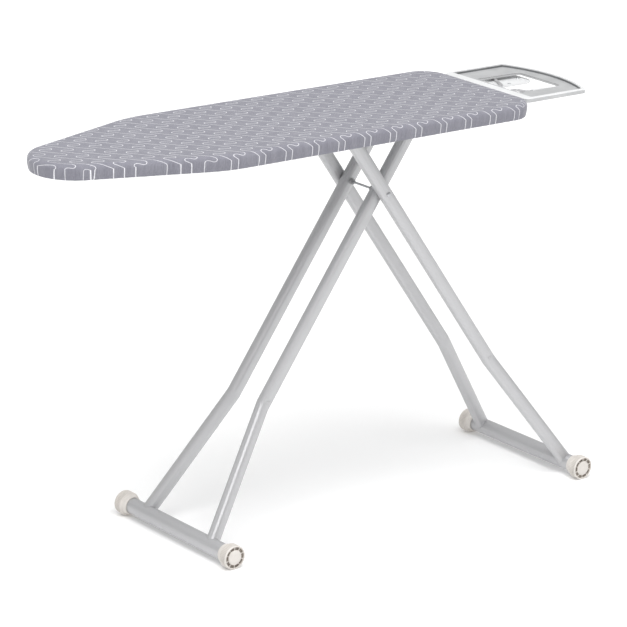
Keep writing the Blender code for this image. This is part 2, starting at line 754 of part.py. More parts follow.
def make_rails():
    """Two slotted L rails, and the bar, spacers and clips that run in them."""
    bar_end = BAR_X - SLIDE_TRAVEL
    slot_radius = PIN_RADIUS + SLOT_CLEARANCE
    low = HINGE_HEIGHT - BRACKET_DROP
    for side_name, side in SIDES:
        near, far = side * RAIL_FACE, side * (RAIL_FACE + BRACKET_SHEET)
        flange = side * (RAIL_FACE + RAIL_FLANGE)
        profile = [
            (near, UNDER_PLATE), (near, low), (far, low), (far, UNDER_PLATE - BRACKET_SHEET),
            (flange, UNDER_PLATE - BRACKET_SHEET), (flange, UNDER_PLATE),
        ]
        rail = extruded(
            f"guide_rail_{side_name}", [profile], "X", bar_end - RAIL_END_MARGIN, BAR_X + RAIL_END_MARGIN,
            "zinc_steel",
        )
        slot = extruded(
            f"rail_slot_{side_name}", [stadium(bar_end, BAR_X, HINGE_HEIGHT, slot_radius)], "Y",
            *sorted((near - side * BRACKET_SHEET, far + side * BRACKET_SHEET)), None, 0.0, CUTTERS,
        )
        hide_cutter(slot)
        cut(rail, slot)
        leg_face = OUTER_GAUGE + LEG_THICKNESS / 2
        make_ring(
            f"slide_spacer_{side_name}", side, BAR_X, HINGE_HEIGHT, leg_face + GAP,
            PIN_RADIUS + GAP, SPACER_RADIUS, SPACER_LENGTH, "black_plastic",
        )
        make_ring(
            f"slide_clip_{side_name}", side, BAR_X, HINGE_HEIGHT, RAIL_FACE + BRACKET_SHEET + 2 * GAP,
            PIN_RADIUS + GAP, CLIP_RADIUS, CLIP_THICKNESS, "black_plastic",
        )
    end = RAIL_FACE + BRACKET_SHEET + 2 * GAP + CLIP_THICKNESS + PIN_RADIUS / 2
    cylinder("slide_bar", "Y", (BAR_X, HINGE_HEIGHT), PIN_RADIUS, -end, end, "zinc_steel", SMALL_ROUND)


def comb_outline():
    """The comb's side view: an eye at its pin, a straight back, and round notches along its lower edge."""
    top = COMB_LOW + COMB_HEIGHT
    radius = PIN_RADIUS + SLOT_CLEARANCE
    tail = COMB_FLANK_X + COMB_TAB
    first = BAR_X - (COMB_NOTCHES - 1) * COMB_PITCH
    points = arc((COMB_PIN_X, COMB_PIN_Z), COMB_EYE_RADIUS, math.pi / 2, 3 * math.pi / 2, 8)
    points.append((first - COMB_PITCH, COMB_LOW))
    for i in range(COMB_NOTCHES):
        center = (first + i * COMB_PITCH, COMB_LOW)
        points += arc(center, radius, math.pi, 0, 6)
    points += [
        (COMB_FLANK_X, COMB_LOW),
        (COMB_FLANK_X, COMB_LOW + COMB_TAB_RAISE),
        (tail, COMB_LOW + COMB_TAB_RAISE),
        (tail, top),
    ]
    return points


def make_lock():
    """The notched comb over the slide bar, the clip and pin it swings on, and the sprung release rod."""
    pin_hole = circle((COMB_PIN_X, COMB_PIN_Z), COMB_PIN_RADIUS + GAP)
    half = COMB_THICKNESS / 2
    extruded("lock_comb", [comb_outline(), pin_hole], "Y", -half, half, "zinc_steel")
    ear_in = half + GAP
    ear_out = ear_in + BRACKET_SHEET
    low = COMB_PIN_Z - COMB_EYE_RADIUS
    web = UNDER_PLATE - BRACKET_SHEET
    profile = [
        (-ear_out, UNDER_PLATE), (-ear_out, low), (-ear_in, low), (-ear_in, web),
        (ear_in, web), (ear_in, low), (ear_out, low), (ear_out, UNDER_PLATE),
    ]
    clip = extruded(
        "comb_bracket", [profile], "X", COMB_PIN_X - COMB_EYE_RADIUS, COMB_PIN_X + COMB_EYE_RADIUS,
        "zinc_steel",
    )
    hole = cutter_cylinder(
        "comb_bracket_hole", "Y", (COMB_PIN_X, COMB_PIN_Z), COMB_PIN_RADIUS + GAP, -2 * ear_out, 2 * ear_out,
        SMALL_ROUND,
    )
    cut(clip, hole)
    end = ear_out + COMB_PIN_RADIUS
    place = (COMB_PIN_X, COMB_PIN_Z)
    cylinder("comb_pin", "Y", place, COMB_PIN_RADIUS, -end, end, "dark_steel", SMALL_ROUND)
    handle_x = ROD_X - HANDLE_REACH
    path = [
        (COMB_FLANK_X + FINGER_ROOM, 0, FINGER_Z),
        (ROD_X - FINGER_KNEE, 0, FINGER_Z),
        (ROD_X, 0, ROD_Z),
        (ROD_X, ROD_SIDE, ROD_Z),
        (ROD_X - HANDLE_REACH / 4, ROD_SIDE, ROD_Z - HANDLE_DROP),
        (handle_x, ROD_SIDE, ROD_Z - HANDLE_DROP),
    ]
    rod("release_rod", rounded_path(path, ROD_RADIUS * 2, 3), ROD_RADIUS, "zinc_steel")
    make_grip(handle_x, ROD_Z - HANDLE_DROP)
    for name, y in (("rod_saddle_inner", INNER_GAUGE / 2), ("rod_saddle_outer", SADDLE_Y)):
        make_saddle(name, y)
    make_spring(SADDLE_Y - SADDLE_WIDTH)


def make_grip(x, z):
    """The plastic sleeve on the release rod's handle, closed at its outer end."""
    bore = ROD_RADIUS + GAP
    wall = GRIP_RADIUS - bore
    edge = wall / 2
    profile = [
        (0, GRIP_LENGTH), (GRIP_RADIUS - edge, GRIP_LENGTH), (GRIP_RADIUS, GRIP_LENGTH - edge),
        (GRIP_RADIUS, edge), (GRIP_RADIUS - edge, 0), (bore, 0),
        (bore, GRIP_LENGTH - wall), (0, GRIP_LENGTH - wall),
    ]
    start = x + GRIP_LENGTH - wall - GAP
    turned("release_grip", profile, (start, ROD_SIDE, z), (-1, 0, 0), "black_plastic", ROUND // 2)


def make_saddle(name, y):
    """A plastic block under the plate that the release rod turns in."""
    low = ROD_Z - ROD_RADIUS - BRACKET_SHEET
    block = box(
        name, (ROD_X - SADDLE_LENGTH / 2, y - SADDLE_WIDTH / 2, low),
        (ROD_X + SADDLE_LENGTH / 2, y + SADDLE_WIDTH / 2, UNDER_PLATE), "black_plastic",
    )
    hole = cutter_cylinder(
        name + "_hole", "Y", (ROD_X, ROD_Z), ROD_RADIUS + GAP, y - SADDLE_WIDTH, y + SADDLE_WIDTH,
        SMALL_ROUND,
    )
    cut(block, hole)


def make_spring(middle):
    """The torsion spring round the release rod."""
    radius = ROD_RADIUS + GAP + SPRING_WIRE
    pitch = SPRING_WIRE * 2 + GAP
    per_turn = 10
    points = []
    for i in range(SPRING_TURNS * per_turn + 1):
        angle = 2 * math.pi * i / per_turn
        along = middle + pitch * (i / per_turn - SPRING_TURNS / 2)
        points.append((ROD_X + radius * math.cos(angle), along, ROD_Z + radius * math.sin(angle)))
    rod("release_spring", points, SPRING_WIRE, "dark_steel", detail=0)


def rest_outline(front, side, rear):
    """The iron rest seen from above, moved in by its own amount at the front, the sides and the rear."""
    half = REST_HALF_WIDTH - side
    mid_x = REST_REAR_X - rear
    chord = REST_HALF_WIDTH - REST_CORNER
    radius = (chord ** 2 + REST_BOW ** 2) / (2 * REST_BOW)
    center = mid_x - radius
    reach = half - REST_CORNER / 2
    angle = math.asin(reach / radius)
    bow = arc((center, 0), radius, -angle, angle, 10)
    corner_x = bow[-1][0] - REST_CORNER / 3
    front_x = REST_FRONT_X + front
    corner = max(REST_CORNER - max(front, side), REST_CORNER / 4)
    corners = [(front_x, half), (front_x, -half), (corner_x, -half)] + bow + [(corner_x, half)]
    radii = [corner, corner, 0] + [0] * len(bow) + [0]
    return rounded(corners, radii)


def opening_outline():
    corners = [
        (TAIL_X + OPENING_FRONT, OPENING_FRONT_HALF), (TAIL_X + OPENING_FRONT, -OPENING_FRONT_HALF),
        (OPENING_REAR_X, -OPENING_REAR_HALF), (OPENING_REAR_X, OPENING_REAR_HALF),
    ]
    return rounded(corners, [OPENING_CORNER] * 4)


def make_rest():
    """The moulded tray at the tail, the wires that carry it, the plates that clamp them, and screws."""
    edge = REST_EDGE
    tray = extruded(
        "iron_rest", [rest_outline(edge, edge, edge)], "Z", REST_BOTTOM, REST_TOP, "rest_plastic", edge
    )
    pocket = extruded(
        "rest_pocket", [rest_outline(REST_BAR, REST_RIM, REST_RIM)], "Z", REST_FLOOR_TOP,
        REST_TOP + REST_EDGE, None, 0.0, CUTTERS,
    )
    opening = extruded(
        "rest_opening", [opening_outline()], "Z", REST_BOTTOM - REST_EDGE, REST_TOP, None, 0.0, CUTTERS
    )
    for cutter in (pocket, opening):
        hide_cutter(cutter)
        cut(tray, cutter)
    smooth(tray)
    wire_z = REST_BOTTOM - 2 * GAP - WIRE_RADIUS
    low_z = SKIRT_BOTTOM - GAP * 2 - WIRE_RADIUS
    deck_z = UNDER_PLATE - WIRE_RADIUS
    for side_name, side in SIDES:
        make_rest_wire(side_name, side, wire_z, low_z, deck_z)
        make_rest_clamp(side_name, side, wire_z - WIRE_RADIUS - GAP)
    make_anchor(deck_z - WIRE_RADIUS - GAP)


def make_rest_wire(side_name, side, wire_z, low_z, deck_z):
    """One bent wire: along the plate, down under the hem, up under the tray and out to its side."""
    y = side * WIRE_GAUGE
    path = [
        (TAIL_X - WIRE_DECK_START, y, deck_z),
        (TAIL_X - WIRE_DECK_END, y, deck_z),
        (TAIL_X - WIRE_LOW_START, y, low_z),
        (TAIL_X + WIRE_LOW_END, y, low_z),
        (TAIL_X + WIRE_TRAY_START, y, wire_z),
        (TAIL_X + WIRE_SPLAY_START, y, wire_z),
        (TAIL_X + WIRE_SPLAY_END, side * (CLAMP_OUTER - WIRE_RADIUS * 2), wire_z),
    ]
    rod(f"rest_wire_{side_name}", rounded_path(path, WIRE_RADIUS * 3, 3), WIRE_RADIUS, "zinc_steel")


def make_rest_clamp(side_name, side, top):
    """The plate that clamps a wire up against the tray's floor, and its two screws."""
    front_x = TAIL_X + CLAMP_FRONT
    corners = [
        (front_x, side * CLAMP_OUTER), (front_x, side * CLAMP_INNER),
        (CLAMP_REAR_X, side * CLAMP_INNER), (CLAMP_REAR_X, side * CLAMP_OUTER),
    ]
    outline = rounded(corners, CLAMP_CORNERS)
    places = [
        (front_x + CLAMP_SCREW_FROM_FRONT, side * (CLAMP_INNER + CLAMP_SCREW_INNER)),
        (CLAMP_REAR_X - CLAMP_SCREW_FROM_REAR, side * (CLAMP_INNER + CLAMP_SCREW_OUTER)),
    ]
    holes = [circle(place, SCREW_SHANK_RADIUS + GAP) for place in places]
    extruded(
        f"rest_clamp_{side_name}", [outline] + holes, "Z", top - CLAMP_THICKNESS, top, "rest_plastic"
    )
    for i, place in enumerate(places):
        make_screw(f"clamp_screw_{side_name}_{i + 1}", place, top + GAP, 1, CLAMP_THICKNESS + 2 * GAP)


def make_screw(name, place, seat, head, length):
    """A pan-head screw seated at a height, with its head up (1) or down (-1) and a shank of this length."""
    profile = dome(SCREW_HEAD_RADIUS, SCREW_HEAD_HEIGHT)[:-1]
    profile += [(SCREW_SHANK_RADIUS, 0), (SCREW_SHANK_RADIUS, -length), (0, -length)]
    turned(name, profile, (*place, seat), (0, 0, head), "zinc_steel", SMALL_ROUND)


def make_anchor(top):
    """The plate that clamps both wires under the deck, with two screws from below."""
    front_x = TAIL_X - ANCHOR_FRONT
    rear_x = TAIL_X - ANCHOR_REAR
    half = WIRE_GAUGE + ANCHOR_MARGIN
    corners = [(front_x, half), (front_x, -half), (rear_x, -half), (rear_x, half)]
    middle_x = (front_x + rear_x) / 2
    places = [(middle_x, 0.0), (middle_x, WIRE_GAUGE + ANCHOR_SCREW_SIDE)]
    holes = [circle(place, SCREW_SHANK_RADIUS + GAP) for place in places]
    extruded(
        "wire_anchor", [rounded(corners, [ANCHOR_CORNER] * 4)] + holes, "Z", top - BRACKET_SHEET, top,
        "zinc_steel",
    )
    for i, place in enumerate(places):
        seat = top - BRACKET_SHEET - GAP
        make_screw(f"anchor_screw_{i + 1}", place, seat, -1, BRACKET_SHEET + WIRE_RADIUS)


clear_scene()
PARTS = make_collection("ironing_board")
CUTTERS = make_collection("cutters")
make_board()
make_ribs()
make_frame("outer", OUTER_SPREAD, OUTER_GAUGE, OUTER_FOOT_GAUGE, BAR_X)
make_frame("inner", -INNER_SPREAD, INNER_GAUGE, INNER_FOOT_GAUGE, HINGE_X)
make_pivot()
make_hinge()
make_rails()
make_lock()
make_rest()
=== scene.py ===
"""Looks of the folding ironing board: fabric cover, padded deck, scissor stand and iron rest.

Metres, +Z up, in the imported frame: +X from the nose to the iron rest, +Y the board's left side.
"""

import json
import math

import bmesh
import bpy
import numpy as np
from mathutils import Matrix, Vector, geometry, kdtree, noise


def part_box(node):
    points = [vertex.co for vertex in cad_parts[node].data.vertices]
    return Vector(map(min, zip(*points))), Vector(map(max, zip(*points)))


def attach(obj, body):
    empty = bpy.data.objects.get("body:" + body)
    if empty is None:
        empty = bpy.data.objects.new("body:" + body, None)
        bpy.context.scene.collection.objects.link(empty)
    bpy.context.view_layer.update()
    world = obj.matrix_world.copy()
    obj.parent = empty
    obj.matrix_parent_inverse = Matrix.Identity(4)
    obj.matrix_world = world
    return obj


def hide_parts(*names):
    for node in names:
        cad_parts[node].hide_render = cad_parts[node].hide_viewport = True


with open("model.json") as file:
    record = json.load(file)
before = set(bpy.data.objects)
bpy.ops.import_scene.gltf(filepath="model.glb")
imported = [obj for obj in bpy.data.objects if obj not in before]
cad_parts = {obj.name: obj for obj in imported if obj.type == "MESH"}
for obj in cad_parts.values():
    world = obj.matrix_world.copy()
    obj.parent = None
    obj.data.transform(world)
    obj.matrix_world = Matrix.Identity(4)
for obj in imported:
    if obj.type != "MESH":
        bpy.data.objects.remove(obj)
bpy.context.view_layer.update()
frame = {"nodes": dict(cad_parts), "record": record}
NODES = frame["nodes"]

# Board outline and the layers on it, as the CAD has them
BOARD_LENGTH = 1.151
BOARD_WIDTH = 0.367
NOSE_RADIUS = 0.094
TAPER_ANGLE = math.radians(18.9)
SHOULDER_RADIUS = 0.27
TAIL_CORNER_RADIUS = 0.062
EDGE_ROLL = 0.011
HEM_REACH = 0.030
PAD_INSET = 0.011

cover_low, cover_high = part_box("cotton_cover")
NOSE_X = cover_low.x
TAIL_X = NOSE_X + BOARD_LENGTH
BOARD_TOP = cover_high.z
SKIRT_BOTTOM = cover_low.z

# Line print of the cover: hooked lines that run across the board, every second one shifted by half a
# repeat. The points of one repeat are in millimetres.
PRINT_REPEAT_X = 0.0670
PRINT_REPEAT_Y = 0.0520
PRINT_LEAN = 0.02
PRINT_ORIGIN = (0.0054, -0.0282)
PRINT_WAVE = (
    (0.0, 0.0),
    (4.6, 8.4),
    (10.8, 18.2),
    (17.4, 28.2),
    (23.6, 37.2),
    (28.2, 44.6),
    (28.8, 50.2),
    (25.8, 54.8),
    (20.8, 55.8),
    (16.6, 52.8),
    (12.4, 48.4),
    (8.0, 45.4),
    (3.0, 46.4),
)
MM = 0.001

MESH_STEP = 0.003
PRINT_STEPS = 24


# ---------------------------------------------------------------- materials


class Shader:
    """A material's node tree with short calls for the nodes that these looks use."""

    def __init__(self, name):
        self.material = bpy.data.materials.new(name)
        self.material.use_nodes = True
        self.tree = self.material.node_tree
        self.tree.nodes.clear()
        self.out = self.tree.nodes.new("ShaderNodeOutputMaterial")
        self.bsdf = self.tree.nodes.new("ShaderNodeBsdfPrincipled")
        self.tree.links.new(self.bsdf.outputs[0], self.out.inputs["Surface"])
        self.coords = self.tree.nodes.new("ShaderNodeTexCoord").outputs["Object"]

    def put(self, socket, value):
        if isinstance(value, bpy.types.NodeSocket):
            self.tree.links.new(value, socket)
        elif isinstance(value, (tuple, list)) and len(value) == 3 and socket.type == "RGBA":
            socket.default_value = (*value, 1.0)
        else:
            socket.default_value = value

    def set(self, **values):
        for name, value in values.items():
            self.put(self.bsdf.inputs[name.replace("_", " ")], value)

    def scaled(self, scale):
        node = self.tree.nodes.new("ShaderNodeVectorMath")
        node.operation = "MULTIPLY"
        self.put(node.inputs[0], self.coords)
        node.inputs[1].default_value = scale
        return node.outputs[0]

    def noise(self, scale, detail=3.0, rough=0.55, stretch=None, distortion=0.0):
        node = self.tree.nodes.new("ShaderNodeTexNoise")
        self.put(node.inputs["Vector"], self.scaled(stretch) if stretch else self.coords)
        node.inputs["Scale"].default_value = scale
        node.inputs["Detail"].default_value = detail
        node.inputs["Roughness"].default_value = rough
        node.inputs["Distortion"].default_value = distortion
        return node.outputs["Fac"]

    def wave(self, scale, direction, distortion=0.0):
        node = self.tree.nodes.new("ShaderNodeTexWave")
        node.bands_direction = direction
        self.put(node.inputs["Vector"], self.coords)
        node.inputs["Scale"].default_value = scale
        node.inputs["Distortion"].default_value = distortion
        node.inputs["Detail"].default_value = 1.0
        return node.outputs["Fac"]

    def math(self, operation, a, b=0.0):
        node = self.tree.nodes.new("ShaderNodeMath")
        node.operation = operation
        self.put(node.inputs[0], a)
        self.put(node.inputs[1], b)
        return node.outputs[0]

    def span(self, value, low, high, to_low=0.0, to_high=1.0):
        node = self.tree.nodes.new("ShaderNodeMapRange")
        node.interpolation_type = "SMOOTHSTEP"
        for index, number in enumerate((value, low, high, to_low, to_high)):
            self.put(node.inputs[index], number)
        return node.outputs[0]

    def mix(self, factor, a, b):
        node = self.tree.nodes.new("ShaderNodeMix")
        node.data_type = "RGBA"
        self.put(node.inputs[0], factor)
        self.put(node.inputs[6], a)
        self.put(node.inputs[7], b)
        return node.outputs[2]

    def attribute(self, name):
        node = self.tree.nodes.new("ShaderNodeAttribute")
        node.attribute_name = name
        return node.outputs["Fac"]

    def axis(self, name, vector=None):
        node = self.tree.nodes.new("ShaderNodeSeparateXYZ")
        self.put(node.inputs[0], vector or self.coords)
        return node.outputs[name]

    def normal(self):
        return self.tree.nodes.new("ShaderNodeNewGeometry").outputs["Normal"]

    def bump(self, height, distance, strength=1.0):
        node = self.tree.nodes.new("ShaderNodeBump")
        node.inputs["Strength"].default_value = strength
        node.inputs["Distance"].default_value = distance
        self.put(node.inputs["Height"], height)
        self.put(self.bsdf.inputs["Normal"], node.outputs[0])


def cover_material():
    s = Shader("printed_cotton")
    thread = s.math("ADD", s.wave(420.0, "X", 1.5), s.wave(420.0, "Y", 1.5))
    grain = s.noise(900.0, 2.0, stretch=(1.0, 1.0, 0.05))
    slub = s.noise(60.0, 4.0, stretch=(1.0, 1.0, 0.12))
    shade = s.math("ADD", s.math("MULTIPLY", grain, 0.55), s.math("MULTIPLY", slub, 0.45))
    cloth = s.mix(s.span(shade, 0.30, 0.72), (0.190, 0.189, 0.223), (0.262, 0.261, 0.298))
    ragged = s.math("MULTIPLY", s.math("SUBTRACT", s.noise(700.0, 2.0), 0.5), 0.0005)
    away = s.math("ADD", s.math("ABSOLUTE", s.attribute("print_line")), ragged)
    line = s.span(away, 0.00086, 0.00034)
    ink = s.mix(s.span(grain, 0.3, 0.7), (0.70, 0.70, 0.73), (0.84, 0.84, 0.87))
    s.set(Base_Color=s.mix(line, cloth, ink))
    s.set(Roughness=s.span(shade, 0.2, 0.8, 0.94, 0.80))
    s.set(Sheen_Weight=0.25, Sheen_Roughness=0.5, Specular_IOR_Level=0.2)
    s.bump(s.math("ADD", s.math("MULTIPLY", thread, 0.35), grain), 0.00018, 0.7)
    return s.material


def felt_material():
    s = Shader("felt")
    fibre = s.noise(420.0, 5.0, 0.7, distortion=1.6)
    patch = s.noise(35.0, 3.0)
    s.set(Base_Color=s.mix(s.span(fibre, 0.3, 0.7), (0.50, 0.48, 0.44), (0.76, 0.74, 0.70)))
    s.set(Roughness=s.span(patch, 0.3, 0.7, 0.9, 1.0), Sheen_Weight=0.3)
    s.bump(fibre, 0.0006, 0.8)
    return s.material


def elastic_material():
    s = Shader("elastic")
    rib = s.wave(500.0, "DIAGONAL", 0.6)
    s.set(Base_Color=s.mix(s.span(rib, 0.2, 0.8), (0.55, 0.55, 0.54), (0.84, 0.84, 0.82)))
    s.set(Roughness=s.span(s.noise(200.0), 0.3, 0.7, 0.75, 0.9))
    s.bump(rib, 0.0004, 0.8)
    return s.material


def metal_material(name, dark, light, metallic, rough, flake=1400.0, scuff=(0.30, 0.30, 0.31)):
    s = Shader(name)
    fine = s.noise(flake, 2.0)
    cloud = s.noise(18.0, 4.0)
    colour = s.mix(s.span(fine, 0.25, 0.75), dark, light)
    worn = s.span(s.noise(70.0, 6.0, 0.7), 0.66, 0.74)
    s.set(Base_Color=s.mix(s.math("MULTIPLY", worn, 0.10), colour, scuff))
    broad = s.span(cloud, 0.3, 0.7, rough - 0.02, rough + 0.03)
    roughness = s.math("ADD", broad, s.span(fine, 0.2, 0.8, -0.02, 0.02))
    s.set(Roughness=roughness, Metallic=metallic, Specular_IOR_Level=0.5)
    s.bump(fine, 0.00004, 0.4)
    return s.material


def plastic_material(name, dark, light, rough, grain=900.0):
    s = Shader(name)
    fine = s.noise(grain, 3.0)
    cloud = s.noise(25.0, 3.0)
    s.set(Base_Color=s.mix(s.span(cloud, 0.3, 0.7), dark, light))
    s.set(Roughness=s.span(fine, 0.25, 0.75, rough - 0.05, rough + 0.07), Specular_IOR_Level=0.45)
    s.bump(fine, 0.00008, 0.5)
    return s.material


def cap_material():
    s = Shader("cap_plastic")
    fine = s.noise(800.0, 3.0)
    cloud = s.noise(40.0, 3.0)
    body = s.mix(s.span(cloud, 0.3, 0.7), (0.69, 0.655, 0.615), (0.75, 0.715, 0.675))
    # Darker colour painted into the slots of the face and the grooves between the ribs, as shade that
    # falls in them
    groove_shade_colour = s.mix(s.span(cloud, 0.3, 0.7), (0.27, 0.235, 0.205), (0.37, 0.33, 0.29))
    s.set(Base_Color=s.mix(s.attribute("painted_recess_shade"), body, groove_shade_colour))
    s.set(Roughness=s.span(fine, 0.25, 0.75, 0.42, 0.56), Specular_IOR_Level=0.45)
    s.bump(fine, 0.00008, 0.5)
    return s.material


def rest_material(floor_z, top_z):
    s = Shader("rest_plastic")
    fine = s.noise(900.0, 3.0)
    cloud = s.noise(25.0, 3.0)
    height = s.axis("Z")
    facing = s.math("ABSOLUTE", s.axis("Z", s.normal()))
    # Faces that turn sideways are painted darker than the top, as shade that falls on the walls
    wall = s.span(facing, 0.75, 0.35)
    below_top = s.span(height, top_z - 0.0014, top_z - 0.0024)
    above_under = s.span(height, floor_z - 0.0012, floor_z - 0.0004)
    inside = s.math("MULTIPLY", above_under, below_top)
    white = s.mix(s.span(cloud, 0.3, 0.7), (0.69, 0.695, 0.70), (0.73, 0.735, 0.74))
    grey = s.mix(s.span(cloud, 0.3, 0.7), (0.40, 0.405, 0.41), (0.46, 0.465, 0.47))
    # Walls inside the well are painted dark grey as shade; the well's floor is mid grey
    dark = s.mix(s.span(cloud, 0.3, 0.7), (0.15, 0.155, 0.16), (0.20, 0.205, 0.21))
    inner = s.math("MULTIPLY", inside, s.attribute("well"))
    # Outer walls below the top edge are painted a darker grey as shade
    outer = s.mix(s.span(cloud, 0.3, 0.7), (0.46, 0.465, 0.47), (0.52, 0.525, 0.53))
    shell = s.mix(s.math("MULTIPLY", wall, below_top), white, outer)
    s.set(Base_Color=s.mix(inner, shell, s.mix(wall, grey, dark)))
    s.set(Roughness=s.span(fine, 0.25, 0.75, 0.36, 0.48), Specular_IOR_Level=0.45)
    s.bump(fine, 0.00008, 0.5)
    return s.material


COVER = cover_material()
FELT = felt_material()
ELASTIC = elastic_material()
SILVER = metal_material("silver_paint", (0.50, 0.50, 0.51), (0.55, 0.55, 0.56), 0.55, 0.44)
DECK = metal_material("deck_paint", (0.40, 0.41, 0.42), (0.50, 0.51, 0.52), 0.55, 0.42)
ZINC = metal_material("zinc_plate", (0.42, 0.43, 0.45), (0.60, 0.61, 0.62), 0.9, 0.30, 500.0)
DARK = metal_material("dark_steel", (0.07, 0.07, 0.075), (0.13, 0.13, 0.14), 0.8, 0.36, 700.0)
BLACK = plastic_material("black_plastic", (0.018, 0.018, 0.018), (0.035, 0.035, 0.036), 0.45)
GREY = plastic_material("grey_plastic", (0.26, 0.26, 0.265), (0.33, 0.33, 0.335), 0.45)
CAP = cap_material()
rest_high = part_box("iron_rest")[1]
REST_WELL_DEPTH = 0.006
REST = rest_material(rest_high.z - REST_WELL_DEPTH, rest_high.z)
CLAMP = plastic_material("clamp_plastic", (0.66, 0.665, 0.67), (0.72, 0.725, 0.73), 0.42)

FINISHES = {
    "cover": COVER,
    "elastic": ELASTIC,
    "pad": FELT,
    "deck": DECK,
    "silver": SILVER,
    "cap": CAP,
    "rest": CLAMP,
    "zinc": ZINC,
    "dark": DARK,
    "black": BLACK,
}
for subpart in frame["record"]["subparts"]:
    node = NODES[subpart["node"]]
    for place in node.material_slots:
        place.material = FINISHES[subpart["material_slot"]]
OTHER_FINISHES = {
    "pivot_bush": GREY,
    "pivot_washer": GREY,
    "pivot_axle": ZINC,
    "rest_wire": SILVER,
}
for name, node in NODES.items():
    for start, finish in OTHER_FINISHES.items():
        if name.startswith(start):
            for place in node.material_slots:
                place.material = finish


# ---------------------------------------------------------------- helpers


def new_mesh(name, points, faces, material, body, attributes=None):
    """A smooth piece that rides on a body, with its vertex attributes."""
    mesh = bpy.data.meshes.new(name)
    mesh.from_pydata([tuple(map(float, p)) for p in points], [], [tuple(map(int, f)) for f in faces])
    mesh.update()
    mesh.shade_smooth()
    mesh.materials.append(material)
    for key, values in (attributes or {}).items():
        made = mesh.attributes.new(key, "FLOAT", "POINT")
        made.data.foreach_set("value", np.asarray(values, np.float32))
    piece = bpy.data.objects.new(name, mesh)
    bpy.context.scene.collection.objects.link(piece)
    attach(piece, body)
    return piece


def arc(center, radius, start, end, steps):
    turns = np.linspace(start, end, steps + 1)
    return np.stack([center[0] + radius * np.cos(turns), center[1] + radius * np.sin(turns)], 1)


def board_outline(step):
    """Points round the board's edge, a step apart, and the outward direction at each."""
    half = BOARD_WIDTH / 2
    nose = NOSE_X + NOSE_RADIUS
    normal = math.pi / 2 + TAPER_ANGLE
    shoulder_y = half - SHOULDER_RADIUS
    lift = SHOULDER_RADIUS - NOSE_RADIUS + shoulder_y * math.cos(TAPER_ANGLE)
    shoulder_x = nose + lift / math.sin(TAPER_ANGLE)
    corner = (TAIL_X - TAIL_CORNER_RADIUS, half - TAIL_CORNER_RADIUS)
    upper = np.concatenate(
        [
            arc((nose, 0), NOSE_RADIUS, math.pi, normal, 90),
            arc((shoulder_x, shoulder_y), SHOULDER_RADIUS, normal, math.pi / 2, 60),
            arc(corner, TAIL_CORNER_RADIUS, math.pi / 2, 0, 60),
        ]
    )
    lower = upper[::-1][:-1] * (1, -1)
    loop = np.concatenate([upper, lower])
    ahead = np.roll(loop, -1, 0)
    keep = np.linalg.norm(ahead - loop, axis=1) > 1e-7
    loop = loop[keep]
    closed = np.concatenate([loop, loop[:1]])
    length = np.concatenate([[0], np.cumsum(np.linalg.norm(np.diff(closed, axis=0), axis=1))])
    count = int(round(length[-1] / step))
    along = np.arange(count) * length[-1] / count
    points = np.stack([np.interp(along, length, closed[:, k]) for k in (0, 1)], 1)
    tangent = np.roll(points, -1, 0) - np.roll(points, 1, 0)
    tangent /= np.linalg.norm(tangent, axis=1)[:, None]
    outward = np.stack([-tangent[:, 1], tangent[:, 0]], 1)
    return points, outward, along


DEPTH_CHUNKS = 40


def depth_inside(points, ring):
    """How far each point is inside a convex ring that runs clockwise."""
    ahead = np.roll(ring, -1, 0) - ring
    ahead /= np.linalg.norm(ahead, axis=1)[:, None]
    inward = np.stack([ahead[:, 1], -ahead[:, 0]], 1)
    offset = (ring * inward).sum(1)
    chunks = [chunk for chunk in np.array_split(points, DEPTH_CHUNKS) if len(chunk)]
    return np.concatenate([(chunk @ inward.T - offset).min(1) for chunk in chunks])


def filled(ring, step):
    """Points and triangles that fill a ring, with a staggered grid inside it. The ring comes first."""
    low, high = ring.min(0), ring.max(0)
    rows = np.arange(low[1] + step, high[1], step * 0.9)
    grid = [
        (x, y)
        for index, y in enumerate(rows)
        for x in np.arange(low[0] + step * (0.5 + 0.5 * (index % 2)), high[0], step)
    ]
    grid = np.array(grid)
    grid = grid[depth_inside(grid, ring) > step * 0.55]
    points = np.concatenate([ring, grid])
    edges = [(i, (i + 1) % len(ring)) for i in range(len(ring))]
    result = geometry.delaunay_2d_cdt([Vector(p) for p in points], edges, [], 1, 1e-7)
    return np.array([tuple(v) for v in result[0]]), result[2], result[3]


def spline(points, steps):
    """A smooth periodic curve through the points of one repeat."""
    count = len(points) - 3
    made = []
    for index in range(count):
        a, b, c, d = points[index : index + 4]
        for t in np.arange(steps) / steps:
            square = (2 * a - 5 * b + 4 * c - d) * t**2
            cube = (3 * b - a - 3 * c + d) * t**3
            made.append(0.5 * (2 * b + (c - a) * t + square + cube))
    return np.array(made)


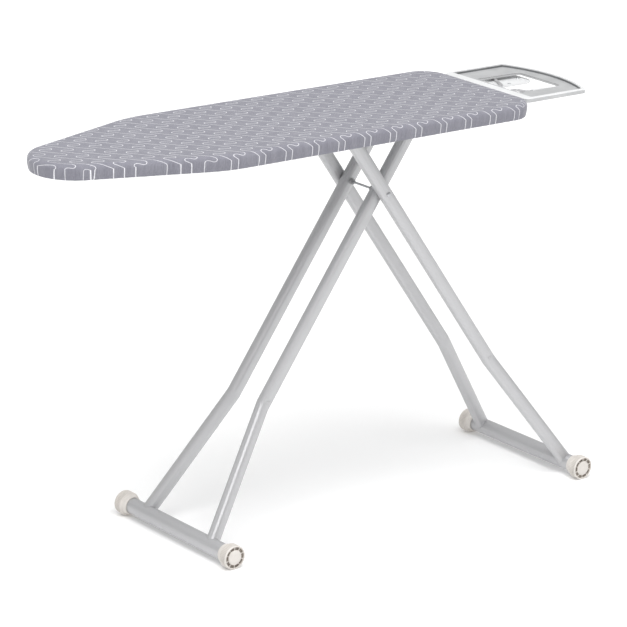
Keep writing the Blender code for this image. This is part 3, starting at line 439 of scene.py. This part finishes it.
def print_distance(places):
    """Distance of each (x, y) to the nearest printed line, above and below zero by turns."""
    wave = np.array(PRINT_WAVE) * MM
    repeat = np.array([0.0, PRINT_REPEAT_Y])
    knots = np.concatenate([wave[-1:] - repeat, wave, wave[:2] + repeat])
    single = spline(knots, PRINT_STEPS)
    line = np.concatenate([single + repeat * k for k in range(-2, 4)])
    x = places[:, 0] + PRINT_LEAN * places[:, 1] - PRINT_ORIGIN[0]
    y = PRINT_ORIGIN[1] - places[:, 1]
    column = np.floor(x / PRINT_REPEAT_X)
    u = x - column * PRINT_REPEAT_X
    v = y - np.floor(y / PRINT_REPEAT_Y) * PRINT_REPEAT_Y
    shifts = [
        np.array([PRINT_REPEAT_X * (k / 2), PRINT_REPEAT_Y * 0.5 * (k % 2)]) for k in range(-3, 4)
    ]
    lines = [line + shift for shift in shifts]
    tree = kdtree.KDTree(sum(len(one) for one in lines))
    index = 0
    for one in lines:
        for p in one:
            tree.insert((p[0], p[1], 0), index)
            index += 1
    tree.balance()
    away = np.array([tree.find((a, b, 0))[2] for a, b in zip(u, v)])
    crossed = np.zeros(len(u), int)
    for one in lines:
        for p, q in zip(one[:-1], one[1:]):
            low, high = (p, q) if p[1] < q[1] else (q, p)
            rows = (v >= low[1]) & (v < high[1])
            if not rows.any():
                continue
            x_there = low[0] + (v[rows] - low[1]) / (high[1] - low[1]) * (high[0] - low[0])
            crossed[np.flatnonzero(rows)[u[rows] > x_there]] += 1
    return away * (1 - 2 * (crossed % 2))


# ---------------------------------------------------------------- cover, pad and deck

EDGE_POINTS, EDGE_OUT, EDGE_ALONG = board_outline(MESH_STEP)
TURN = 2 * math.pi / (EDGE_ALONG[-1] + MESH_STEP)
ROLL_STEPS = 6
SIDE_STEPS = 7
LOW_STEPS = 3
SIDE_GATHER = 0.25
LOW_GATHER = 0.3
HEM_LIFT = 0.0006
HEM_RISE = 0.0003
HEM_Z = SKIRT_BOTTOM + HEM_LIFT
SIDE_LEAN = 0.0026
LOW_ROLL = 0.0028
# Cloth unevenness: gathers round the hem, sway of the sides, slack of the top
GATHERS = 131
SWAY = 0.0007
PUCKER = 0.0002
HEM_PUCKER = 0.0010
COVER_GAP = 0.0004
TOP_DIP = 0.0004
TOP_EASE = 0.02
# How much faster the print runs over the edge roll, and how much of it shows down the side
PRINT_ROLL = 1.58
PRINT_DRAPE = 0.03


def cover_profile():
    """(inset, height, gather) over the roll, down the side and under the board to the hem."""
    rows = []
    for k in range(ROLL_STEPS + 1):
        turn = math.pi / 2 * k / ROLL_STEPS
        rows.append((EDGE_ROLL * (1 - math.sin(turn)), BOARD_TOP - EDGE_ROLL * (1 - math.cos(turn)), 0.0))
    high, low = BOARD_TOP - EDGE_ROLL, SKIRT_BOTTOM + LOW_ROLL
    for k in range(1, SIDE_STEPS + 1):
        share = k / SIDE_STEPS
        rows.append((SIDE_LEAN * share**2, high + (low - high) * share, SIDE_GATHER * share))
    for k in range(1, LOW_STEPS + 1):
        turn = math.pi / 2 * k / LOW_STEPS
        inset = SIDE_LEAN + LOW_ROLL * (1 - math.cos(turn))
        rows.append((inset, low - (LOW_ROLL - HEM_LIFT) * math.sin(turn), LOW_GATHER))
    start = SIDE_LEAN + LOW_ROLL
    for k in range(1, SIDE_STEPS + 1):
        share = k / SIDE_STEPS
        gather = LOW_GATHER + (1 - LOW_GATHER) * share
        rows.append((start + (HEM_REACH - start) * share, HEM_Z + HEM_RISE * share, gather))
    return rows


def band(upper, lower):
    """Faces between two rings of the same number of points."""
    count = len(upper)
    return [(upper[i], upper[(i + 1) % count], lower[(i + 1) % count], lower[i]) for i in range(count)]


def print_reach(inset, height):
    """How far outside the board's edge the print's pattern is, at a row of the cover."""
    over = min(1.0, (BOARD_TOP - height) / EDGE_ROLL)
    rolled = EDGE_ROLL * (math.acos(1 - over) * PRINT_ROLL - 1)
    under = max(0.0, inset - SIDE_LEAN) if height < SKIRT_BOTTOM + LOW_ROLL else 0.0
    return rolled + max(0.0, BOARD_TOP - EDGE_ROLL - height) * PRINT_DRAPE + under


def make_cover():
    """The fitted cover: a flat top, rings down the side, and the hem under the board."""
    top, faces, origins = filled(EDGE_POINTS - EDGE_OUT * EDGE_ROLL, MESH_STEP)
    ring_of = {}
    for index, sources in enumerate(origins):
        for source in sources:
            ring_of[source] = index
    count = len(EDGE_POINTS)
    points = [np.array([x, y, BOARD_TOP]) for x, y in top]
    fabric = [top]
    ring = [ring_of[i] for i in range(count)]
    relief = np.array(
        [
            noise.noise((x * 9, y * 9, 3.1)) + 0.5 * noise.noise((x * 31, y * 31, 8.7))
            for x, y in top
        ]
    )
    depth = depth_inside(top, EDGE_POINTS)
    for point, rise, far in zip(points, relief, depth):
        inner = min(1.0, max(0.0, (far - EDGE_ROLL) / TOP_EASE))
        point[2] -= TOP_DIP * (0.6 + 0.6 * rise) * inner
    faces = [tuple(f) for f in faces]
    gather = np.array(
        [
            math.sin(a * TURN * GATHERS + 2.2 * noise.noise((a * 7, 1.3, 0)))
            + 0.8 * noise.noise((a * 38, 4.2, 0))
            for a in EDGE_ALONG
        ]
    )
    sway = np.array(
        [
            noise.noise((a * 14, 9.1, 0)) + 0.4 * noise.noise((a * 47, 2.5, 0))
            for a in EDGE_ALONG
        ]
    )
    previous = ring
    for inset, height, pull in cover_profile()[1:]:
        out = SWAY * sway * (0.3 + pull) - PUCKER * gather * pull
        flat = EDGE_POINTS - EDGE_OUT * (inset + COVER_GAP - out)[:, None]
        lift = HEM_PUCKER * gather * pull**2 * (1.0 if height < SKIRT_BOTTOM + 0.002 else 0.0)
        now = list(range(len(points), len(points) + count))
        points.extend(np.array([x, y, height + z]) for (x, y), z in zip(flat, lift * np.ones(count)))
        fabric.append(EDGE_POINTS + EDGE_OUT * print_reach(inset, height))
        faces.extend(band(previous, now))
        previous = now
    printed = print_distance(np.concatenate(fabric))
    lines = {"print_line": printed}
    cover = new_mesh("cover_cloth", points, faces, COVER, "board", attributes=lines)
    made = bmesh.new()
    made.from_mesh(cover.data)
    bmesh.ops.recalc_face_normals(made, faces=made.faces)
    made.to_mesh(cover.data)
    area = sum(f.calc_area() for f in made.faces)
    made.free()
    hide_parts("cotton_cover")
    return cover, area


def slab(name, inset, low, high, edge, material, body, step=0.012):
    """A closed pad under the cover, with a rounded edge."""
    points, outward, _ = board_outline(step)
    tall = high - low
    levels = [(edge * 0.3, low + tall * 0.15), (0, low + tall * 0.5), (edge * 0.3, high - tall * 0.15)]
    count = len(points)
    made = []
    faces = []
    base, fill, origins = filled(points - outward * (inset + edge), step)
    ring_of = {s: i for i, sources in enumerate(origins) for s in sources}
    made.extend((x, y, low) for x, y in base)
    faces.extend(tuple(reversed(f)) for f in fill)
    previous = [ring_of[i] for i in range(count)]
    for back, height in levels:
        now = list(range(len(made), len(made) + count))
        made.extend((x, y, height) for x, y in points - outward * (inset + back))
        faces.extend(band(previous, now))
        previous = now
    start = len(made)
    made.extend((x, y, high - 0.0004 * (0.5 + noise.noise((x * 25, y * 25, 5)))) for x, y in base)
    faces.extend(tuple(start + v for v in f) for f in fill)
    now = [start + ring_of[i] for i in range(count)]
    faces.extend(band(previous, now))
    return new_mesh(name, made, faces, material, body)


cover, cover_area = make_cover()
pad_low, pad_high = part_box("felt_pad")
pad = slab("felt_underlay", PAD_INSET, pad_low.z, pad_high.z, 0.002, FELT, "board")
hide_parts("felt_pad")


# ---------------------------------------------------------------- foot caps

CAP_SLOTS = 10
CAP_RIBS = 48
CAP_STEPS = 240
SLOT_WIDTH = 0.93
SLOT_EDGE = 0.16
CAP_SPLIT_ANGLE = math.radians(42)
RIB_DEPTH = 0.0012
# How dark the grooves between the ribs are painted, as shade
RIB_GROOVE_SHADE = 0.34
# (radius, depth behind the face in a slot, the same on a spoke, share of rib, share of painted recess
# shade)
CAP_PROFILE = (
    (0.0000, 0.0004, 0.0004, 0, 0),
    (0.0080, 0.0004, 0.0004, 0, 0),
    (0.0152, 0.0005, 0.0005, 0, 0),
    (0.0158, 0.0009, 0.0009, 0, 0),
    (0.0161, 0.0020, 0.0018, 0, 0.4),
    (0.0163, 0.0044, 0.0019, 0, 1),
    (0.0168, 0.0052, 0.0019, 0, 1),
    (0.0216, 0.0052, 0.0019, 0, 1),
    (0.0221, 0.0044, 0.0019, 0, 1),
    (0.0224, 0.0020, 0.0018, 0, 0.4),
    (0.0227, 0.0008, 0.0008, 0, 0),
    (0.0230, 0.0003, 0.0003, 0, 0),
    (0.0238, 0.0003, 0.0003, 0, 0),
    (0.0246, 0.0009, 0.0009, 0, 0),
    (0.0254, 0.0018, 0.0018, 0, 0),
    (0.0258, 0.0028, 0.0028, 0.2, 0),
    (0.0258, 0.0040, 0.0040, 1, 0),
    (0.0258, 0.0120, 0.0120, 1, 0),
    (0.0258, 0.0196, 0.0196, 1, 0),
    (0.0254, 0.0210, 0.0210, 0.2, 0),
    (0.0240, 0.0218, 0.0218, 0, 0),
    (0.0212, 0.0222, 0.0222, 0, 0),
    (0.0205, 0.0230, 0.0230, 0, 0),
    (0.0204, 0.0335, 0.0335, 0, 0),
    (0.0198, 0.0347, 0.0347, 0, 0),
    (0.0180, 0.0350, 0.0350, 0, 0),
    (0.0176, 0.0346, 0.0346, 0, 0),
    (0.0176, 0.0240, 0.0240, 0, 0),
)


def make_foot_cap(node, body):
    """A turned end cap with a ring of slots in its face and ribs round its rim, in place of a CAD node."""
    low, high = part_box(node)
    side = 1 if high.y > 0 else -1
    middle = ((low.x + high.x) / 2, (low.z + high.z) / 2)
    face_y = high.y if side > 0 else low.y
    turns = np.arange(CAP_STEPS) * 2 * math.pi / CAP_STEPS
    pulse = np.cos(CAP_SLOTS * turns)
    in_slot = np.clip((pulse + SLOT_WIDTH) / SLOT_EDGE, 0, 1)
    rib = 0.5 + 0.5 * np.cos(CAP_RIBS * turns)
    points, painted_recess_shade, faces = [], [], []
    for radius, slot_depth, spoke_depth, ribbed, groove_shade_share in CAP_PROFILE:
        deep = spoke_depth + (slot_depth - spoke_depth) * in_slot
        reach = radius - RIB_DEPTH * ribbed * rib
        xs = middle[0] + reach * np.cos(turns)
        zs = middle[1] + reach * np.sin(turns)
        points.extend(zip(xs, face_y - side * deep, zs))
        # Painted shade: the slots and the rib grooves get a darker colour through a vertex attribute
        painted_recess_shade.extend(groove_shade_share * in_slot + RIB_GROOVE_SHADE * ribbed * rib)
    rows = len(CAP_PROFILE)
    for row in range(rows - 1):
        a, b = row * CAP_STEPS, (row + 1) * CAP_STEPS
        for i in range(CAP_STEPS):
            j = (i + 1) % CAP_STEPS
            if row == 0:
                faces.append((a, b + j, b + i))
            else:
                faces.append((a + i, a + j, b + j, b + i))
    made = bmesh.new()
    layer = made.verts.layers.float.new("painted_recess_shade")
    verts = []
    for index, point in enumerate(points):
        if 0 < index < CAP_STEPS:
            verts.append(None)
            continue
        vert = made.verts.new(point)
        vert[layer] = painted_recess_shade[index]
        verts.append(vert)
    for face in faces:
        made.faces.new([verts[v] for v in face])
    bmesh.ops.recalc_face_normals(made, faces=made.faces)
    mesh = bpy.data.meshes.new(node + "_detail")
    made.to_mesh(mesh)
    made.free()
    for polygon in mesh.polygons:
        polygon.use_smooth = True
    mesh.materials.append(CAP)
    piece = bpy.data.objects.new(node + "_detail", mesh)
    bpy.context.scene.collection.objects.link(piece)
    split = piece.modifiers.new("edges", "EDGE_SPLIT")
    split.split_angle = CAP_SPLIT_ANGLE
    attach(piece, body)
    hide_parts(node)
    return piece


for kind in ("inner", "outer"):
    for side_name in ("left", "right"):
        make_foot_cap(f"{kind}_foot_cap_{side_name}", f"{kind}_frame")


# ---------------------------------------------------------------- iron rest

# The tray's well, inside its rim, gets a grey floor and walls painted dark as shade: its vertices are
# marked by depth in the outline
REST_RIM = 0.004
rest = NODES["iron_rest"]
for place in rest.material_slots:
    place.material = REST
flat_places = np.array([tuple(v.co)[:2] for v in rest.data.vertices])
apart = np.unique(flat_places.round(5), axis=0)
hull = apart[geometry.convex_hull_2d([Vector(p) for p in apart])]
if depth_inside(apart.mean(0)[None, :], hull)[0] < 0:
    hull = hull[::-1]
well = rest.data.attributes.new("well", "FLOAT", "POINT")
inside_rim = depth_inside(flat_places, hull) > REST_RIM
well.data.foreach_set("value", inside_rim.astype(np.float32))


# ---------------------------------------------------------------- stage, camera and light


# The floor glows a little, and more where it is far away, so that it stays pale to its edge
FLOOR_SIZE = 14.0
FLOOR_GLOW = 0.14
FLOOR_FAR_GLOW = 0.5
FLOOR_NEAR = 1.4
FLOOR_FAR = 5.0


def make_stage():
    mesh = bpy.data.meshes.new("floor")
    corners = [(x * FLOOR_SIZE, y * FLOOR_SIZE, 0) for x, y in ((-1, -1), (1, -1), (1, 1), (-1, 1))]
    mesh.from_pydata(corners, [], [(0, 1, 2, 3)])
    s = Shader("floor_paint")
    cloud = s.noise(1.5, 3.0)
    s.set(Base_Color=s.mix(s.span(cloud, 0.3, 0.7), (0.90, 0.90, 0.90), (0.92, 0.92, 0.92)))
    s.set(Roughness=s.span(cloud, 0.3, 0.7, 0.85, 0.92), Specular_IOR_Level=0.2)
    square = s.math("ADD", s.math("POWER", s.axis("X"), 2.0), s.math("POWER", s.axis("Y"), 2.0))
    glow = s.span(s.math("SQRT", square), FLOOR_NEAR, FLOOR_FAR, FLOOR_GLOW, FLOOR_FAR_GLOW)
    s.set(Emission_Color=(1.0, 1.0, 1.0), Emission_Strength=glow)
    mesh.materials.append(s.material)
    floor = bpy.data.objects.new("floor", mesh)
    bpy.context.scene.collection.objects.link(floor)


CAMERA_PLACE = (-4.3548, -5.5545, 2.6671)
CAMERA_YAW = math.radians(38.2605)
CAMERA_PITCH = math.radians(17.497)
CAMERA_ROLL = math.radians(1.478)
CAMERA_LENS = 202.1
SENSOR = 36.0


def make_camera():
    """A camera turned by yaw, pitch and roll, from its own place."""
    ahead = Vector(
        (
            math.sin(CAMERA_YAW) * math.cos(CAMERA_PITCH),
            math.cos(CAMERA_YAW) * math.cos(CAMERA_PITCH),
            -math.sin(CAMERA_PITCH),
        )
    )
    right = Vector((math.cos(CAMERA_YAW), -math.sin(CAMERA_YAW), 0))
    up = right.cross(ahead)
    turned_right = right * math.cos(CAMERA_ROLL) + up * math.sin(CAMERA_ROLL)
    turned_up = up * math.cos(CAMERA_ROLL) - right * math.sin(CAMERA_ROLL)
    data = bpy.data.cameras.new("camera")
    data.lens = CAMERA_LENS
    data.sensor_width = SENSOR
    data.clip_end = 60.0
    camera = bpy.data.objects.new("camera", data)
    bpy.context.scene.collection.objects.link(camera)
    turn = Matrix((turned_right, turned_up, -ahead)).transposed()
    camera.matrix_world = Matrix.Translation(CAMERA_PLACE) @ turn.to_4x4()
    bpy.context.scene.camera = camera


KEY_PLACE = (-1.1, -1.7, 5.4)
KEY_TARGET = (0, 0, 0.6)
KEY_SIZE = (4.5, 4.5)
KEY_POWER = 285


def area_light(name, place, target, size, power):
    data = bpy.data.lights.new(name, "AREA")
    data.shape = "RECTANGLE"
    data.size, data.size_y = size
    data.energy = power
    light = bpy.data.objects.new(name, data)
    bpy.context.scene.collection.objects.link(light)
    light.location = place
    light.rotation_euler = (Vector(target) - Vector(place)).to_track_quat("-Z", "Y").to_euler()


# (sine of the height above the horizon, grey): a pale backdrop, dim walls and a soft ceiling
SKY_STOPS = ((0.0, 0.95), (0.11, 0.95), (0.15, 0.16), (0.55, 0.70))


def make_world():
    world = bpy.data.worlds.new("studio")
    bpy.context.scene.world = world
    world.use_nodes = True
    tree = world.node_tree
    tree.nodes.clear()
    out = tree.nodes.new("ShaderNodeOutputWorld")
    back = tree.nodes.new("ShaderNodeBackground")
    ramp = tree.nodes.new("ShaderNodeValToRGB")
    split = tree.nodes.new("ShaderNodeSeparateXYZ")
    coords = tree.nodes.new("ShaderNodeTexCoord")
    tree.links.new(coords.outputs["Generated"], split.inputs[0])
    tree.links.new(split.outputs["Z"], ramp.inputs["Fac"])
    tree.links.new(ramp.outputs["Color"], back.inputs["Color"])
    tree.links.new(back.outputs[0], out.inputs["Surface"])
    stops = ramp.color_ramp.elements
    while len(stops) < len(SKY_STOPS):
        stops.new(1.0)
    for stop, (height, shade) in zip(stops, SKY_STOPS):
        stop.position = height
        stop.color = (shade, shade, shade, 1)


make_stage()
make_camera()
make_world()
area_light("key", KEY_PLACE, KEY_TARGET, KEY_SIZE, KEY_POWER)
bpy.context.scene.view_settings.view_transform = "Standard"
